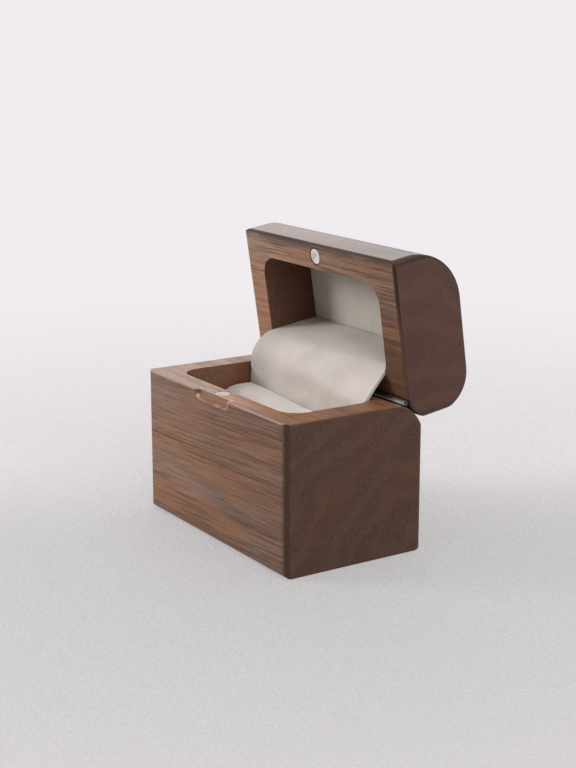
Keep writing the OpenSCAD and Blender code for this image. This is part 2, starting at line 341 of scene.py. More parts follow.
class Grain(Shader):
    """The node tree of one walnut block, whose layers share the place, the face and the growth ring."""

    def __init__(self, wood: Walnut) -> None:
        """Starts the tree with what the layers share.

        Args:
            wood: the finish that it follows.
        """
        super().__init__(wood.name)
        self.wood = wood
        self.edge: Easing = wood.edge.value
        self.place = self.axes(self.coords())
        self.facing = self.axes(self.node("ShaderNodeTexCoord").outputs["Normal"])
        self.across = self.maths("ABSOLUTE", self.facing[0])
        self.outer = self.band(self.maths("ABSOLUTE", self.place[0]), *wood.end_zone)
        hollow = self.product(self.rest(self.outer), wood.inner)
        self.ends = self.product(self.band(self.across, 0.4, 0.85), self.total(self.outer, hollow))
        self.ring = self.growth_ring()
        self.colour = self.streaks()

    def lay(self, share: object, over: object) -> None:
        """Mixes a share of another colour into the wood."""
        self.colour = self.blend(share, self.colour, over)

    def fibres(self, along: float, across: float, shift: float = 0) -> Socket:
        """Coordinates of a pattern that is stretched along the fibres.

        Args:
            along: pattern units in a millimetre along the fibres.
            across: pattern units in a millimetre across them.
            shift: millimetres that this pattern is moved against the others.

        Returns:
            The vector socket.
        """
        return self.coords((along, across, across), self.wood.turn, tuple(m + shift for m in self.wood.move))

    def growth_ring(self) -> Socket:
        """Rings round a pith outside the block, bent by slow waves along the fibres.

        Returns:
            1 in the dark part of a ring and 0 in the light one.
        """
        sway = self.product(self.noise(self.fibres(0.02, 0.07), 2), 22.0)
        _, y, z = self.axes(self.fibres(1, 1))
        pith_y, pith_z = self.wood.pith
        radius = self.root(self.less(y, pith_y), self.less(z, pith_z))
        return self.band(self.maths("SINE", self.product(self.total(radius, sway), 0.9)), -0.4, 1.0)

    def streaks(self) -> Socket:
        """Warm patches, and dark streaks and threads that come and go along the fibres.

        Returns:
            The colour of the long grain.
        """
        wood = self.wood
        tonal = self.noise(self.fibres(0.022, 0.12, 7), 3, 0.55, 0.4)
        patch = self.band(self.noise(self.fibres(0.025, 0.16, 43), 2, 0.5, 0.5), 0.36, 0.62, (0.45, 1.15))
        streak = self.noise(self.fibres(0.03, 1.1, 31), 4, 0.6)
        thread = self.noise(self.fibres(0.05, 3.2, 17), 3, 0.65)
        heat = self.product(self.band(tonal, 0.36, 0.66), self.rest(self.product(self.ends, 0.65)))
        lines = self.total(self.band(streak, 0.46, 0.70, (0, 0.40)), self.band(thread, 0.50, 0.63, (0, 0.68)))
        # A darker patch round a given point is painted shade, added to the dark share.
        dark = self.total(self.product(self.ring, 0.14), self.product(lines, patch),
                          self.band(self.place[0], -wood.half_width, wood.half_width, (0, wood.fade)),
                          self.band(self.away(wood.painted_shade_spot), 3, 20, (0.34, 0)))
        share = self.product(self.maths("MINIMUM", dark, 0.85), self.rest(self.product(self.ends, 0.75)))
        return self.blend(share, self.blend(heat, wood.light, wood.warm), wood.deep)

    def end_grain(self) -> None:
        """Lays end grain, which drinks more oil and goes darker, with its pores as specks."""
        mottle = self.noise(self.coords((0.14, 0.14, 0.14), self.wood.turn, (5, 9, 2)), 3, 0.55)
        speck = self.noise(self.coords((2.0, 2.6, 1.7), self.wood.turn, (5, 9, 2)), 2, 0.7)
        cast = self.total(self.band(mottle, 0.32, 0.68, (0, 0.15)), self.band(speck, 0.38, 0.62, (0, 0.72)),
                          self.product(self.ring, 0.45))
        dark, pale = (tuple(self.wood.end_shade * c * k for c, k in zip(shade, self.wood.end_tint))
                      for shade in ((0.70, 0.62, 0.62), (1.22, 1.07, 1.03)))
        self.lay(self.ends, self.tinted(self.colour, self.blend(cast, dark, pale)))

    def eased_ends(self) -> Socket:
        """Finds the rounded edges round the end faces.

        Returns:
            1 on them and 0 elsewhere.
        """
        start, stop = self.edge.start, self.edge.stop
        limit = (self.band(self.facing[2], 0.1, 0.4, (1, 0)) if self.wood.edge is Edge.PALE
                 else self.band(self.place[2], 42, 62, (0.3, 1)))
        return self.product(self.band(self.across, start, start + 0.25),
                            self.band(self.across, stop - 0.09, stop, (1, 0)), self.outer, limit)

    def front_edge(self) -> Socket:
        """Finds the long edge between the front and the rim.

        Returns:
            1 on it and 0 elsewhere.
        """
        tilt = self.maths("ABSOLUTE", self.product(self.facing[1], self.facing[2]))
        front = self.product(self.band(tilt, 0.16, 0.3), self.band(self.facing[1], -0.1, 0.0, (1, 0)))
        if self.wood.edge is Edge.PALE:
            front = self.product(front, self.band(self.facing[2], 0.1, 0.3))
        return front

    def painted_highlight(self, front: Socket) -> None:
        """Lays a rim that is cooler to the left, and a pale front edge that is a painted highlight.

        Args:
            front: 1 on the front edge and 0 elsewhere.
        """
        rim = self.blend(self.band(self.place[0], -25, 20), (0.88, 0.92, 0.86), (1.0, 0.87, 0.72))
        self.lay(self.band(self.facing[2], 0.8, 0.97), self.tinted(self.colour, rim))
        # Painted highlight: the front edge is laid pale where it catches the light.
        self.lay(self.product(front, self.edge.front), tone(184, 158, 146))

    def darker_edge_and_faces(self, front: Socket) -> None:
        """Lays a darker front edge with a darker band beside it, a darker and greyer upper face, and a duller
        outside.

        Args:
            front: 1 on the front edge and 0 elsewhere.
        """
        self.lay(self.product(front, self.edge.front), scaled(self.wood.deep, 0.25))
        from_oil = self.axes(self.coords(turn=self.wood.turn))[1]
        oil = self.product(self.band(from_oil, self.wood.oil, self.wood.oil + 2, (0.75, 0)),
                           self.band(self.noise(self.coords((0.16, 0.5, 0.5)), 2), 0.3, 0.6, (0.35, 1)),
                           self.band(self.facing[1], -0.95, -0.85, (1, 0)))
        self.lay(oil, tone(44, 35, 33))
        self.lay(self.band(self.facing[1], -0.1, 0.5), self.tinted(self.colour, (0.70, 0.71, 0.74)))
        oiled = self.tinted(self.blend(0.52, self.colour, self.wood.deep), (0.52, 0.55, 0.58))
        self.lay(self.band(self.facing[2], 0.6, 0.97), oiled)

    def browner_pocket_walls(self) -> None:
        """Lays a browner tint on the walls of the pocket."""
        start, end = self.wood.pocket
        inside = self.product(self.band(self.place[1], start - 1.4, start - 0.5),
                              self.band(self.place[1], end + 0.3, end + 1, (1, 0)),
                              self.rest(self.outer), self.band(self.facing[2], 0.4, 0.8, (1, 0)))
        self.lay(inside, self.tinted(self.colour, (0.98, 0.82, 0.68)))

    def finished(self) -> Material:
        """Lays the layers over each other and ends the tree.

        Returns:
            The finished material.
        """
        wood = self.wood
        fibre = self.noise(self.fibres(0.14, 4.6, 53), 3, 0.6)
        pores = self.noise(self.fibres(0.17, 5.2, 71), 1, 0.4)
        pore = self.product(self.band(pores, 0.63, 0.74), self.band(self.across, 0.3, 0.8, (1, 0)))
        eased, front = self.eased_ends(), self.front_edge()

        grit = self.blend(self.band(fibre, 0.3, 0.7), (0.72, 0.72, 0.72), (1.08, 1.08, 1.08))
        self.colour = self.tinted(self.colour, grit)
        self.lay(self.product(pore, 0.5), scaled(wood.deep, 0.35))
        self.end_grain()
        self.lay(self.product(eased, self.edge.most), scaled(wood.deep, self.edge.left))
        # The base's pale front edge is a painted highlight; the lid's edge and faces are laid darker.
        (self.painted_highlight if wood.edge is Edge.PALE else self.darker_edge_and_faces)(front)
        # A dark ring round the magnet is a painted shadow of its gap.
        if wood.magnet is not None:
            self.lay(self.band(self.away(wood.magnet), 2.0, 2.22, (0.92, 0)), scaled(wood.deep, 0.2))
        # The notch's pale edge is partly scuffs and partly painted highlight, with a painted shadow at its
        # left end.
        if wood.notch is not None:
            self.colour = wood.notch.pale_edge_and_shadow(self, self.colour)
        if wood.pocket is not None:
            self.browner_pocket_walls()

        rough = self.band(self.noise(self.fibres(0.05, 0.5, 11), 2), 0.3, 0.7,
                          (wood.gloss - 0.05, wood.gloss + 0.08))
        height = self.less(self.product(fibre, 0.4), self.product(pore, 0.9))
        if wood.edge is Edge.DARK:
            even = self.less(wood.gloss + 0.02, rough)
            rough = self.total(rough, self.product(even, self.band(self.facing[2], 0.6, 0.95)),
                               self.product(self.maths("MAXIMUM", eased, front), 0.4))
            height = self.product(height, self.band(self.facing[2], 0.6, 0.95, (1, 0.15)))
        return self.surface(Base_Color=self.colour, Roughness=rough, Normal=self.bump(height, 0.035),
                            IOR=1.5, Specular_IOR_Level=0.3)


@dataclass(frozen=True)
class Notch:
    """The finger notch's outline on the front face, whose cut edges are pale with scuffs and painted
    highlight.

    The top is the height of the rim, and front is where the front face lies.
    """
    half_width: float
    bottom: float
    top: float
    corner: float
    front: float

    def pale_edge_and_shadow(self, s: Shader, colour: Socket) -> Socket:
        """Pales the edge with scuffs and painted highlight, lightens the inside, and paints a shadow at the
        left end.

        Args:
            s: the shader under construction.
            colour: the wood's colour.

        Returns:
            The colour with the wear.
        """
        x, y, z = s.axes(s.coords())
        x = s.maths("ABSOLUTE", x)
        centre, half_height = (self.bottom + self.top) / 2 + self.corner, (self.top - self.bottom) / 2
        dx = s.less(x, self.half_width - self.corner)
        dz = s.less(s.maths("ABSOLUTE", s.less(z, centre)), half_height)
        rim = s.less(s.root(s.maths("MAXIMUM", dx, 0.0), s.maths("MAXIMUM", dz, 0.0)), self.corner)
        near = s.band(y, self.front + 1.2, self.front + 1.6, (1, 0))

        splinters = s.less(s.noise(s.coords((0.9, 0.9, 0.9)), 3), 0.5)
        ragged = s.total(rim, s.product(splinters, 0.35))
        line = s.product(s.band(ragged, -0.3, 0.0), s.band(ragged, 0.02, 0.34, (1, 0)), near)
        # The pale line is partly scuffs and partly painted highlight, brightest at the notch's ends.
        pale_share = s.band(s.noise(s.coords((0.35, 0.35, 0.35), move=(3, 0, 1)), 2), 0.4, 0.65, (0.28, 0.7))
        pale_share = s.product(pale_share, s.band(x, self.half_width - 3, self.half_width - 1, (0.5, 1)))
        pale_share = s.total(pale_share, s.band(x, self.half_width - 0.8, self.half_width - 0.2, (0, 0.4)))
        colour = s.blend(s.product(line, pale_share), colour, tone(212, 186, 172))
        inside = s.product(s.band(rim, -0.2, 0.0, (1, 0)), near, 0.22)
        colour = s.blend(inside, colour, tone(178, 132, 106))
        # Painted shadow: a dark spot at the notch's left end.
        shadow_spot = s.away((-self.half_width - 0.2, self.front + 0.2, self.top - 0.5))
        return s.blend(s.product(s.band(shadow_spot, 0.4, 1.1, (0.85, 0)), near), colour, tone(62, 36, 30))


@dataclass(frozen=True)
class Velvet:
    """Short-pile velvet: soft mottling where the pile leans, a fine nap and a pale rim of sheen.

    The left shade is where along X a painted shade towards the left end is full, where it ends, and its
    strength.
    """
    name: str
    light: Triple
    shade: Triple
    left_shade: Triple = (-20, -10, 0)

    def material(self) -> Material:
        """Builds the material.

        Returns:
            The finished material.
        """
        s = Shader(self.name)
        brushed = s.noise(s.coords((0.11, 0.14, 0.12), (20, 0, 35)), 4, 0.55, 0.3)
        nap = s.noise(s.coords((2.8, 2.8, 2.8)), 3, 0.7)
        fine = s.noise(s.coords((6.5, 6.5, 6.5)), 2, 0.6)
        share = s.total(s.band(brushed, 0.25, 0.75, (0, 0.6)), s.band(nap, 0.35, 0.7, (0, 0.5)))
        colour = s.blend(s.maths("MINIMUM", share, 1.0), self.light, self.shade)
        # Painted shade, darker towards the left end.
        start, end, most = self.left_shade
        left_shade_share = s.band(s.axes(s.coords())[0], start, end, (most, 0))
        height = s.total(s.product(nap, 0.7), s.product(fine, 0.5))
        return s.surface(Base_Color=s.blend(left_shade_share, colour, scaled(self.shade, 0.6)), Roughness=0.95,
                         Specular_IOR_Level=0.15, Sheen_Weight=0.35, Sheen_Roughness=0.45,
                         Sheen_Tint=(1.0, 0.97, 0.94), Normal=s.bump(height, 0.14))


@dataclass(frozen=True)
class Barrel:
    """The hinge barrel's axis, radius and end, and the painted highlight, a bright line along its front."""
    y: float
    z: float
    radius: float
    end: float
    bright: Triple = (0.80, 0.79, 0.77)

    def painted_highlight(self, s: Shader, colour: Socket) -> Socket:
        """Paints a highlight, a bright line along the front of the barrel.

        Args:
            s: the shader under construction.
            colour: the steel's colour.

        Returns:
            The colour with the bright line.
        """
        x, y, z = s.axes(s.coords())
        forward = s.product(s.less(self.y, y), 0.96)
        down = s.product(s.less(self.z, z), 0.28)
        line = s.band(s.total(forward, down), 0.88 * self.radius, 0.97 * self.radius)
        inner = s.band(s.maths("ABSOLUTE", x), self.end - 0.1, self.end - 0.02, (1, 0))
        return s.blend(s.product(line, inner), colour, self.bright)


@dataclass(frozen=True)
class Metal:
    """Bare or plated metal with the fine lines of its making.

    Lines is how many of them a millimetre has along each axis, and stain is how bright the stained
    parts are beside the clean ones. A barrel is given where a highlight is painted along it.
    """
    name: str
    colour: Triple
    rough: float
    lines: Triple = (0.4, 9, 9)
    depth: float = 0.006
    stain: float = 0.8
    barrel: Barrel | None = None

    def material(self) -> Material:
        """Builds the material.

        Returns:
            The finished material.
        """
        s = Shader(self.name)
        brushed = s.noise(s.coords(self.lines), 3, 0.6)
        stain = s.noise(s.coords((0.7, 0.7, 0.7)), 3, 0.5)
        colour = s.blend(s.band(stain, 0.35, 0.7), self.colour, scaled(self.colour, self.stain))
        # Painted highlight along the hinge barrel.
        if self.barrel is not None:
            colour = self.barrel.painted_highlight(s, colour)
        rough = s.band(brushed, 0.3, 0.7, (self.rough * 0.8, self.rough * 1.25))
        return s.surface(Base_Color=colour, Metallic=1.0, Roughness=rough, Normal=s.bump(brushed, self.depth))


@dataclass(frozen=True)
class Board:
    """Grey board, stiff paper or foam: a matt surface with its fibres or cells.

    Grain is how many of them a millimetre has, and depth is how deep they are.
    """
    name: str
    colour: Triple
    grain: float
    depth: float

    def material(self) -> Material:
        """Builds the material.

        Returns:
            The finished material.
        """
        s = Shader(self.name)
        cells = s.noise(s.coords((self.grain,) * 3), 4, 0.65)
        colour = s.blend(s.band(cells, 0.3, 0.7), scaled(self.colour, 0.82), self.colour)
        return s.surface(Base_Color=colour, Roughness=0.9, Normal=s.bump(cells, self.depth))


@dataclass(frozen=True)
class TableTop:
    """A pale surface with the fine dimples of coated cloth, paler behind the box and white far away.

    Lift is how much of the far colour glows beside the box, painted light that lightens the floor and
    its shadows there, and view the angle from the box's front to the side that counts as the front here.
    """
    name: str
    near: Triple
    behind: Triple
    far: Triple
    lift: float = 0.45
    view: float = 57

    def material(self) -> Material:
        """Builds the material.

        Returns:
            The finished material.
        """
        s = Shader(self.name)
        x, y, _ = s.axes(s.coords(turn=(0, 0, -self.view)))
        cells = s.node("ShaderNodeTexVoronoi", feature="SMOOTH_F1")
        s.feed(cells.inputs["Vector"], s.coords((1.5, 1.5, 1.5)))
        s.feed(cells.inputs["Scale"], 1)
        height = s.total(cells.outputs["Distance"], s.noise(s.coords((2.6, 2.6, 2.6)), 3, 0.6))
        s.surface(Base_Color=s.blend(s.band(y, -15, 60), self.near, self.behind), Roughness=0.62,
                  Specular_IOR_Level=0.3, Normal=s.bump(height, 1.1))
        top = s.output.inputs["Surface"]
        # Painted light: the floor glows in the far colour for camera and mirror rays, white far away and,
        # beside the box, a share that lightens its shadows.
        glow = s.node("ShaderNodeEmission", {"Color": (*self.far, 1)})
        rays = s.node("ShaderNodeLightPath").outputs
        seen = s.maths("MAXIMUM", rays["Is Camera Ray"],
                       s.maths("MAXIMUM", rays["Is Glossy Ray"], rays["Is Transmission Ray"]))
        share = s.product(seen, s.band(s.root(x, y), 30, 320, (self.lift, 1)))
        mixed = s.node("ShaderNodeMixShader", {0: share, 1: top.links[0].from_socket, 2: glow.outputs[0]})
        s.feed(top, mixed.outputs[0])
        return s.material


# ---------------------------------------------------------------- meshes

def new_piece(name: str, verts: Iterable[Sequence[float]], faces: Iterable[Sequence[int]]) -> Piece:
    """Makes an object from points in millimetres, with its faces turned outwards.

    Args:
        name: the object's name.
        verts: the points.
        faces: the faces, as indices of points.

    Returns:
        The new object, at the origin.
    """
    mesh = bpy.data.meshes.new(name)
    mesh.from_pydata([tuple(c * MM for c in v) for v in verts], [], [tuple(f) for f in faces])
    piece = bpy.data.objects.new(name, mesh)
    bpy.context.scene.collection.objects.link(piece)
    tidy_mesh(piece)
    return piece


def tidy_mesh(piece: Piece) -> None:
    """Merges doubles, turns the faces outwards and shades them smooth.

    Args:
        piece: the piece to tidy.
    """
    bm = bmesh.new()
    bm.from_mesh(piece.data)
    bmesh.ops.remove_doubles(bm, verts=bm.verts, dist=0.5e-6)
    bmesh.ops.recalc_face_normals(bm, faces=bm.faces)
    bm.to_mesh(piece.data)
    bm.free()
    piece.data.polygons.foreach_set("use_smooth", [True] * len(piece.data.polygons))


def dress(piece: Piece, material: Material) -> None:
    """Gives every face of a piece the one material.

    Args:
        piece: the piece.
        material: its finish.
    """
    piece.data.materials.clear()
    piece.data.materials.append(material)
    piece.data.polygons.foreach_set("material_index", [0] * len(piece.data.polygons))


def modify(piece: Piece, kind: str, **settings: object) -> None:
    """Runs one modifier on a piece and leaves a plain mesh.

    Args:
        piece: the piece.
        kind: the modifier's type.
        **settings: its properties.
    """
    modifier = piece.modifiers.new(kind.lower(), kind)
    for key, value in settings.items():
        setattr(modifier, key, value)
    flatten(piece)


def flatten(piece: Piece) -> Piece:
    """Applies a piece's modifiers, so that a plain mesh is left.

    Args:
        piece: the piece.

    Returns:
        The same piece.
    """
    depsgraph = bpy.context.evaluated_depsgraph_get()
    mesh = bpy.data.meshes.new_from_object(piece.evaluated_get(depsgraph))
    piece.modifiers.clear()
    old, piece.data = piece.data, mesh
    mesh.name = piece.name
    bpy.data.meshes.remove(old)
    return piece


def points(piece: Piece) -> np.ndarray:
    """Reads a piece's points in millimetres.

    Args:
        piece: the piece.

    Returns:
        One row for each point.
    """
    co = np.zeros(len(piece.data.vertices) * 3, np.float64)
    piece.data.vertices.foreach_get("co", co)
    return co.reshape(-1, 3) / MM


def set_points(piece: Piece, co: np.ndarray) -> None:
    """Moves the piece's points to places in millimetres."""
    piece.data.vertices.foreach_set("co", (co * MM).astype(np.float32).ravel())
    piece.data.update()


# ---------------------------------------------------------------- the box

@dataclass
class Hinge:
    """The hinge axis along X, and how far the lid stands open."""
    y: float
    z: float
    angle: float

    @classmethod
    def read(cls) -> "Hinge":
        """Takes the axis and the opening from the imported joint."""
        joint = frame["joints"][0]
        return cls(joint["pos_m"][1] / MM, joint["pos_m"][2] / MM, -min(joint["range_deg"]))

    @property
    def opening(self) -> float:
        """How far the lid stands open, in radians."""
        return math.radians(self.angle)

    def to_open(self, co: np.ndarray) -> np.ndarray:
        """Turns points from their closed places to where the open lid has them.

        Args:
            co: the points, one row each.

        Returns:
            The turned points.
        """
        a = -self.opening
        y, z = co[:, 1] - self.y, co[:, 2] - self.z
        return np.column_stack([co[:, 0], self.y + math.cos(a) * y - math.sin(a) * z,
                                self.z + math.sin(a) * y + math.cos(a) * z])

    def to_closed(self, co: np.ndarray) -> np.ndarray:
        """Turns points of the open lid back to their closed places."""
        return Hinge(self.y, self.z, -self.angle).to_open(co)


def extent(node: str, hinge: Hinge | None = None) -> tuple[np.ndarray, np.ndarray]:
    """Lowest and highest corners of a CAD node in millimetres.

    Args:
        node: the node's name.
        hinge: given for a node of the lid, which is then measured in its closed place.

    Returns:
        The two corners.
    """
    co = points(frame["nodes"][node])
    if hinge is not None:
        co = hinge.to_closed(co)
    return co.min(0), co.max(0)


@dataclass
class Case:
    """The two walnut blocks, the magnets and the hinge: CAD nodes that get their finishes."""
    # The base's pale front edge is a painted highlight, and its notch has a painted highlight and a painted
    # shadow.
    base_wood: Walnut = Walnut(
        "walnut_base", light=(0.304, 0.180, 0.126), deep=(0.068, 0.032, 0.021), warm=(0.322, 0.141, 0.062),
        turn=(0, 2.5, 0), move=(4, 0, 3), pith=(75, -75), end_shade=0.310, end_tint=(1.03, 1.0, 0.95),
        inner=0.45, fade=0.28, pocket=(-13.05, 9.95),
        notch=Notch(half_width=6.75, bottom=32.1, top=34.2, corner=1.5, front=-18.15))
    # The lid's darker patch at its lower right is painted shade, and the dark ring round its magnet a painted
    # shadow of its gap.
    lid_wood: Walnut = Walnut(
        "walnut_lid", light=(0.444, 0.262, 0.162), deep=(0.072, 0.024, 0.011), warm=(0.444, 0.198, 0.090),
        turn=(81.5, 0, 0), move=(31, 20, -12), pith=(60, -40), end_shade=0.282, end_tint=(0.97, 0.86, 1.05),
        inner=0.9, fade=0.42, painted_shade_spot=(27, 12, 35), edge=Edge.DARK, gloss=0.30, oil=-63.2,
        magnet=(0, 9.34, 62.74))
    nickel: Metal = Metal("nickel_plate", (0.84, 0.79, 0.74), 0.34, (1.2, 1.2, 9), 0.01, 0.62)
    dull_nickel: Metal = Metal("rubbed_nickel_plate", (0.40, 0.34, 0.30), 0.5, (1.2, 9, 1.2), 0.004)
    # The steel's near-black colour is painted shade for the dark gap round the barrel, and its bright line a
    # painted highlight.
    steel: Metal = Metal("hinge_steel", (0.085, 0.085, 0.083), 0.5,
                         barrel=Barrel(y=13.55, z=34.25, radius=0.65, end=29.4))
    card: Board = Board("grey_board", (0.24, 0.20, 0.15), 1.4, 0.05)

    def build(self) -> None:
        """Dresses the CAD nodes."""
        for finish, nodes in ((self.base_wood, ("base_block",)), (self.lid_wood, ("lid_block",)),
                              (self.dull_nickel, ("base_magnet",)), (self.nickel, ("lid_magnet",)),
                              (self.steel, ("hinge_leaf_base", "hinge_leaf_lid", "hinge_pin")),
                              (self.card, ("insert_card", "ceiling_card"))):
            material = finish.material()
            for node in nodes:
                dress(frame["nodes"][node], material)
                log.info("%s: %s", node, material.name)


@dataclass
class Roll:
    """One foam roll in its velvet, blown out a little by a cloth simulation.

    Attributes:
        name: front or rear.
        slot_side: -1 where the ring slot is in front of the roll, 1 where it is behind.
        low: lowest corner of its CAD solid.
        high: highest corner of its CAD solid.
        slot_r: radius of the crown's edge beside the ring slot.
        wall_r: radius of its other edge.
        end_r: radius of the edges at its two ends.
        velvet_t: thickness of the velvet.
        glue: gap between the velvet and the foam.
        shrink: how far inside the solid the cloth starts.
        swell: how far the cloth may blow out.
        room: how far it may stand out at the sides, and at the top.
        held: height of the foot that stays in place.
        frames: steps of the simulation.
        mass: mass of each point of the cloth in it.
        pressure: pressure inside the cloth in it.
        lift: how much the crown stands prouder towards the left end.
        shoulder: height above which it does.
        slope: where along X it starts to, and over what length it gets there.
        zoom: how many times larger the cloth is in the simulation.
        voxel: size of the cells that its mesh is made from.
        core_share: share of the faces that the foam keeps.
    """
    name: str
    slot_side: int
    low: np.ndarray
    high: np.ndarray
    slot_r: float = 5.5
    wall_r: float = 0.9
    end_r: float = 2.2
    velvet_t: float = 0.55
    glue: float = 0.1
    shrink: float = 0.25
    swell: float = 0.55
    room: tuple[float, float] = (0.1, 0.5)
    held: float = 1.5
    frames: int = 20
    mass: float = 0.3
    pressure: float = 4.0
    lift: float = 1.1
    shoulder: float = 8.0
    slope: tuple[float, float] = (4.0, 20.0)
    zoom: float = 20.0
    voxel: float = 0.6
    core_share: float = 0.3

    def blank(self) -> Piece:
        """The roll as a closed form with rounded crown edges and ends, enlarged for the simulation.

        Returns:
            The cover before it is blown out.
        """
        name = f"{self.name}_roll_cover"
        bm = bmesh.new()
        bmesh.ops.create_cube(bm, size=1)
        piece = bpy.data.objects.new(name, bpy.data.meshes.new(name))
        bm.to_mesh(piece.data)
        bm.free()
        bpy.context.scene.collection.objects.link(piece)
        piece.data.transform(Matrix.Diagonal((*(self.high - self.low - 2 * self.shrink) * MM * self.zoom, 1)))
        piece.data.transform(Matrix.Translation(Vector((self.high + self.low) / 2) * MM * self.zoom))
        modify(piece, "REMESH", mode="VOXEL", voxel_size=self.voxel * MM * self.zoom, use_smooth_shade=True)
        set_points(piece, self.rounded(points(piece) / self.zoom) * self.zoom)
        return piece

    def rounded(self, co: np.ndarray) -> np.ndarray:
        """Pulls points that lie outside the rounded form back onto it.

        Args:
            co: the points, one row each.

        Returns:
            The new places.
        """
        low, high = self.low + self.shrink, self.high - self.shrink
        out = co.copy()
        for axis in (1, 0):
            for side in (-1, 1):
                edge = high[axis] if side > 0 else low[axis]
                if axis == 1:
                    r, top = self.slot_r if side == self.slot_side else self.wall_r, high[2]
                else:
                    r, top = self.end_r, out[:, 2].max()
                middle = edge - side * r
                over, z = (out[:, axis] - middle) * side, out[:, 2] - (top - r)
                reach = np.hypot(over, z)
                hit = (over > 0) & (z > 0) & (reach > r)
                out[hit, axis] = middle + side * over[hit] * r / reach[hit]
                out[hit, 2] = top - r + z[hit] * r / reach[hit]
        return out

    def blow(self, piece: Piece) -> None:
        """Runs the cloth under pressure while its foot is held.

        Args:
            piece: the enlarged roll.
        """
        foot = piece.vertex_groups.new(name="held")
        heights = points(piece)[:, 2] / self.zoom
        foot.add(np.flatnonzero(heights < self.low[2] + self.held).tolist(), 1.0, "REPLACE")
        settings = piece.modifiers.new("cloth", "CLOTH").settings
        settings.quality = 5
        settings.mass = self.mass
        settings.use_pressure = True
        settings.uniform_pressure_force = self.pressure
        settings.vertex_group_mass = foot.name
        settings.effector_weights.gravity = 0
        scene = bpy.context.scene
        for step in range(1, self.frames + 1):
            scene.frame_set(step)
        flatten(piece)
        scene.frame_set(1)

    def swollen(self, piece: Piece) -> None:
        """Blows the roll out, as far as its limits and the pieces beside it leave room.

        Args:
            piece: the enlarged roll, which gets its own size.
        """
        start = points(piece) / self.zoom
        self.blow(piece)
        shift = points(piece) / self.zoom - start
        far = np.linalg.norm(shift, axis=1, keepdims=True)
        shift *= np.minimum(1, self.swell / np.maximum(far, 1e-9))
        side, top = self.room
        set_points(piece, np.clip(start + shift, self.low - [side, side, 0], self.high + [side, side, top]))

    def raised(self, co: np.ndarray) -> np.ndarray:
        """Makes the crown stand prouder towards the left end.

        Args:
            co: the points, one row each.

        Returns:
            The new places.
        """
        shoulder, (start, length) = self.low[2] + self.shoulder, self.slope
        up = np.clip((co[:, 2] - shoulder) / (self.high[2] - shoulder), 0, 1)
        left = np.clip((start - co[:, 0]) / length, 0, 1)
        co[:, 2] += self.lift * up * left * left * (3 - 2 * left)
        return co

    def core(self, cover: Piece) -> Piece:
        """Makes the foam, a copy of the cover that is smaller by the velvet.

        Args:
            cover: the closed cover.

        Returns:
            The foam piece.
        """
        core = cover.copy()
        core.data = cover.data.copy()
        core.name = core.data.name = f"{self.name}_roll_core"
        bpy.context.scene.collection.objects.link(core)
        modify(core, "DISPLACE", strength=-(self.velvet_t + self.glue) * MM, mid_level=0)
        modify(core, "DECIMATE", ratio=self.core_share)
        co = points(core)
        co[:, 2] = np.maximum(co[:, 2], self.low[2] + 0.02)
        set_points(core, co)
        return core

    def open_foot(self, cover: Piece) -> None:
        """Takes away the cover's underside and gives the rest its thickness.

        Args:
            cover: the closed cover.
        """
        bm = bmesh.new()
        bm.from_mesh(cover.data)
        under = [f for f in bm.faces
                 if f.normal.z < -0.8 and f.calc_center_median().z / MM < self.low[2] + 0.5]
        bmesh.ops.delete(bm, geom=under, context="FACES")
        bm.to_mesh(cover.data)
        bm.free()
        modify(cover, "SOLIDIFY", thickness=self.velvet_t * MM, offset=-1, use_even_offset=False)

    def build(self, velvet: Material, foam: Material) -> None:
        """Makes the velvet cover and the foam core and gives them to the frame.

        Args:
            velvet: the cover's finish.
            foam: the core's finish.
        """
        cover = self.blank()
        self.swollen(cover)
        modify(cover, "CORRECTIVE_SMOOTH", iterations=3, smooth_type="SIMPLE")
        set_points(cover, self.raised(points(cover)))
        tidy_mesh(cover)
        core = self.core(cover)
        self.open_foot(cover)
        for piece, kind, material in ((cover, "velvet", velvet), (core, "foam", foam)):
            dress(piece, material)
            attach(piece, "base")
            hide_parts(f"{self.name}_roll_{kind}")
            log.info("%s: %d faces", piece.name, len(piece.data.polygons))


class Rule(Nodes):
    """A Geometry Nodes tree that turns named sizes into a mesh."""

    def __init__(self, name: str, **inputs: float) -> None:
        """Starts the tree.

        Args:
            name: the tree's name.
            **inputs: its inputs and their values.
        """
        super().__init__(bpy.data.node_groups.new(name, "GeometryNodeTree"))
        self.values = inputs
        ports = self.tree.interface
        self.ids = {key: ports.new_socket(key, in_out="INPUT", socket_type="NodeSocketFloat").identifier
                    for key in inputs}
        ports.new_socket("Geometry", in_out="OUTPUT", socket_type="NodeSocketGeometry")
        self.enter, self.leave = self.node("NodeGroupInput"), self.node("NodeGroupOutput")

    def __getitem__(self, key: str) -> Socket:
        """The socket of a named input."""
        return self.enter.outputs[key]

    def finish(self, geometry: Socket, material: Material) -> None:
        """Ends the tree in Realize Instances and Set Material.

        Args:
            geometry: what the tree has made.
            material: its finish.
        """
        real = self.node("GeometryNodeRealizeInstances", {0: geometry})
        dressed = self.node("GeometryNodeSetMaterial", {"Geometry": real.outputs[0], "Material": material})
        self.feed(self.leave.inputs[0], dressed.outputs[0])

    def mesh(self, name: str) -> Piece:
        """Evaluates the tree.

        Args:
            name: the piece's name.

        Returns:
            The result as a plain mesh object.
        """
        piece = bpy.data.objects.new(name, bpy.data.meshes.new(name))
        modifier = piece.modifiers.new("rule", "NODES")
        modifier.node_group = self.tree
        for key, value in self.values.items():
            modifier[self.ids[key]] = value
        bpy.context.scene.collection.objects.link(piece)
        return flatten(piece)


